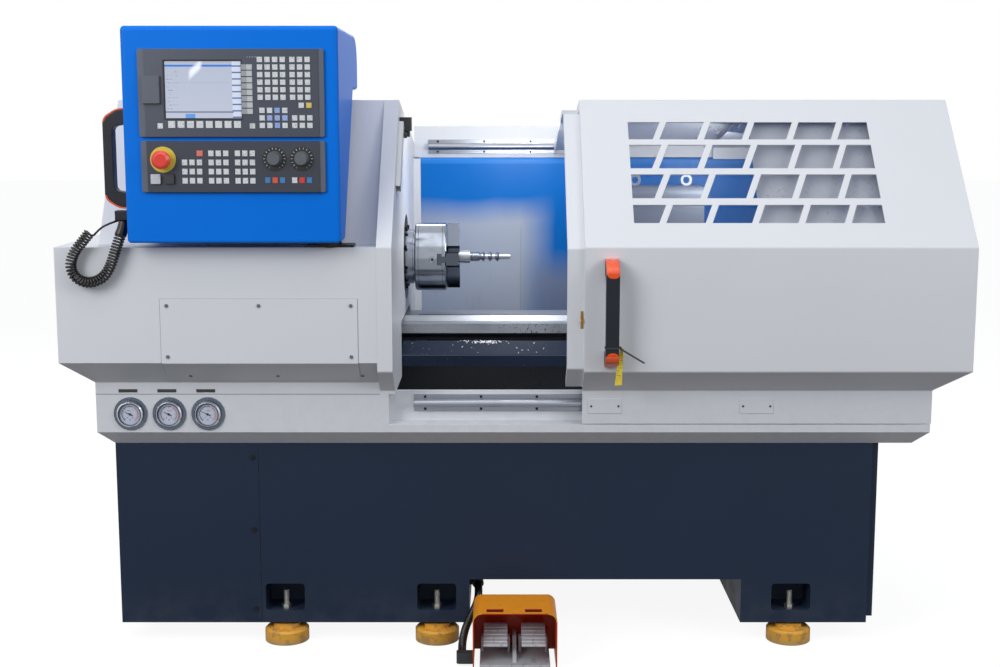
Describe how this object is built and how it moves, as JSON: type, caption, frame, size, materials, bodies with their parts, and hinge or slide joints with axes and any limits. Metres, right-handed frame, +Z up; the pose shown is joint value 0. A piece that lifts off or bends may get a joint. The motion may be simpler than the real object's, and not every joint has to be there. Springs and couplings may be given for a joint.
{
  "type": "cnc lathe",
  "caption": "Flat-bed CNC turning lathe: sliding hood, headstock with three-jaw chuck, turret carriage, tailstock, swivelling control console, chip tray, pedestal and foot switch",
  "frame": {"origin": "middle of the bounding box at the floor, cords left out", "axes": "X along the bed towards the tailstock, Y from the front to the back, Z up"},
  "size_m": [2.367, 1.177, 1.647],
  "materials": {
    "white_paint": "satin white paint",
    "navy_paint": "satin dark blue paint",
    "blue_paint": "gloss blue paint",
    "guard_paint": "blue grey paint",
    "orange_paint": "satin orange paint",
    "pad_paint": "yellow painted casting",
    "steel": "ground steel",
    "dark_steel": "blackened steel",
    "chrome": "polished",
    "iron": "machined casting",
    "clear": "clear pane",
    "black_plastic": "moulded",
    "orange_plastic": "moulded",
    "bezel_plastic": "moulded",
    "key_plastic": "moulded",
    "screen_plastic": "display",
    "yellow_plastic": "moulded",
    "red_plastic": "moulded",
    "cord_rubber": "sheath"
  },
  "bodies": {
    "machine": {"pedestal": "navy_paint", "pedestal_panels": "navy_paint", "case_screws": "dark_steel", "foot_pads": "pad_paint", "foot_studs": "steel", "chip_tray": "white_paint", "gauges": "chrome", "headstock_wall": "white_paint", "headstock_covers": "white_paint", "access_panel": "white_paint", "guide_rails": "steel", "rail_bolts": "dark_steel", "right_guard": "white_paint", "rear_frame": "white_paint", "back_wall": "blue_paint", "bed": "iron", "headstock": "iron", "bearing_cap": "dark_steel", "screw_guard": "guard_paint", "cable_fittings": "black_plastic", "console_pivot": "dark_steel", "switch_base": "iron", "switch_hood": "orange_paint", "pedal_hose": "cord_rubber"},
    "door": {"door_hood": "white_paint", "door_frame": "white_paint", "door_window": "clear", "door_handle_grip": "black_plastic", "door_handle_caps": "orange_plastic", "door_blocks": "steel"},
    "spindle_unit": {"spindle": "steel", "chuck_body": "steel", "workpiece": "steel"},
    "jaw_1": {"chuck_jaw_1": "steel"},
    "jaw_2": {"chuck_jaw_2": "steel"},
    "jaw_3": {"chuck_jaw_3": "steel"},
    "feed_screw": {"ball_screw": "steel"},
    "carriage": {"saddle": "iron"},
    "cross_carriage": {"cross_slide": "iron", "turret_housing": "guard_paint"},
    "turret": {"turret_disc": "steel"},
    "tailstock_body": {"tailstock": "white_paint"},
    "tailstock_quill": {"quill": "steel"},
    "tailstock_wheel": {"tail_wheel": "chrome"},
    "console": {"console_housing": "blue_paint", "console_handle_grip": "black_plastic", "console_handle_caps": "orange_plastic", "console_panels": "bezel_plastic", "screen": "screen_plastic", "console_keys": "key_plastic", "stop_plate": "yellow_plastic", "curly_cord_coil": "cord_rubber", "curly_cord_lead": "cord_rubber"},
    "stop": {"stop_button": "red_plastic"},
    "knob_1": {"override_knob_1": "bezel_plastic"},
    "knob_2": {"override_knob_2": "bezel_plastic"},
    "button_1": {"lamp_button_1": "key_plastic"},
    "button_2": {"lamp_button_2": "key_plastic"},
    "foot_pedal_1": {"switch_pedal_1": "iron"},
    "foot_pedal_2": {"switch_pedal_2": "iron"}
  },
  "joints": [
    {"name": "door_slide", "type": "slide", "parent": "machine", "child": "door", "axis": [-1, 0, 0], "range_m": [0, 0.45]},
    {"name": "spindle_spin", "type": "hinge", "parent": "machine", "child": "spindle_unit", "pos_m": [-0.3165, 0.1085, 1.015], "axis": [1, 0, 0], "continuous": true},
    {"name": "jaw_1_slide", "type": "slide", "parent": "spindle_unit", "child": "jaw_1", "axis": [0, -1, 0], "range_m": [0, 0.006]},
    {"name": "jaw_2_slide", "type": "slide", "parent": "spindle_unit", "child": "jaw_2", "axis": [0, 0.5, -0.866], "range_m": [0, 0.006]},
    {"name": "jaw_3_slide", "type": "slide", "parent": "spindle_unit", "child": "jaw_3", "axis": [0, 0.5, 0.866], "range_m": [0, 0.006]},
    {"name": "carriage_slide", "type": "slide", "parent": "machine", "child": "carriage", "axis": [1, 0, 0], "range_m": [-0.36, 0.12]},
    {"name": "screw_spin", "type": "hinge", "parent": "machine", "child": "feed_screw", "pos_m": [0.3585, -0.0565, 0.752], "axis": [1, 0, 0], "range_deg": [-13000, 4400]},
    {"name": "cross_travel", "type": "slide", "parent": "carriage", "child": "cross_carriage", "axis": [0, -1, 0], "range_m": [-0.02, 0.06]},
    {"name": "turret_index", "type": "hinge", "parent": "cross_carriage", "child": "turret", "pos_m": [0.2935, 0.3135, 1.015], "axis": [1, 0, 0], "continuous": true},
    {"name": "tailstock_slide", "type": "slide", "parent": "machine", "child": "tailstock_body", "axis": [1, 0, 0], "range_m": [-0.04, 0.05]},
    {"name": "quill_slide", "type": "slide", "parent": "tailstock_body", "child": "tailstock_quill", "axis": [-1, 0, 0], "range_m": [0, 0.08]},
    {"name": "quill_wheel", "type": "hinge", "parent": "tailstock_body", "child": "tailstock_wheel", "pos_m": [0.9785, 0.1085, 1.015], "axis": [1, 0, 0], "range_deg": [-60, 5820]},
    {"name": "console_swivel", "type": "hinge", "parent": "machine", "child": "console", "pos_m": [-0.4765, -0.4785, 1.12], "axis": [0, 0, 1], "range_deg": [0, 25]},
    {"name": "stop_press", "type": "slide", "parent": "console", "child": "stop", "axis": [0, 1, 0], "range_m": [0, 0.005]},
    {"name": "knob_1_turn", "type": "hinge", "parent": "console", "child": "knob_1", "pos_m": [-0.6025, -0.5665, 1.321], "axis": [0, 1, 0], "range_deg": [-150, 150]},
    {"name": "knob_2_turn", "type": "hinge", "parent": "console", "child": "knob_2", "pos_m": [-0.5345, -0.5665, 1.321], "axis": [0, 1, 0], "range_deg": [-150, 150]},
    {"name": "button_1_press", "type": "slide", "parent": "console", "child": "button_1", "axis": [0, 1, 0], "range_m": [0, 0.003], "stiffness_N_per_m": 600},
    {"name": "button_2_press", "type": "slide", "parent": "console", "child": "button_2", "axis": [0, 1, 0], "range_m": [0, 0.003], "stiffness_N_per_m": 600},
    {"name": "pedal_1_press", "type": "hinge", "parent": "machine", "child": "foot_pedal_1", "pos_m": [-0.0535, -0.4665, 0.044], "axis": [1, 0, 0], "range_deg": [0, 12], "stiffness_Nm_per_rad": 12, "springref_deg": -5.73},
    {"name": "pedal_2_press", "type": "hinge", "parent": "machine", "child": "foot_pedal_2", "pos_m": [0.0465, -0.4665, 0.044], "axis": [1, 0, 0], "range_deg": [0, 12], "stiffness_Nm_per_rad": 12, "springref_deg": -5.73}
  ],
  "couplings": [
    {"joint": "jaw_2_slide", "follows": "jaw_1_slide", "ratio": 1},
    {"joint": "jaw_3_slide", "follows": "jaw_1_slide", "ratio": 1},
    {"joint": "screw_spin", "follows": "carriage_slide", "rad_per_m": 628.32},
    {"joint": "quill_wheel", "follows": "quill_slide", "rad_per_m": 1256.6}
  ]
}
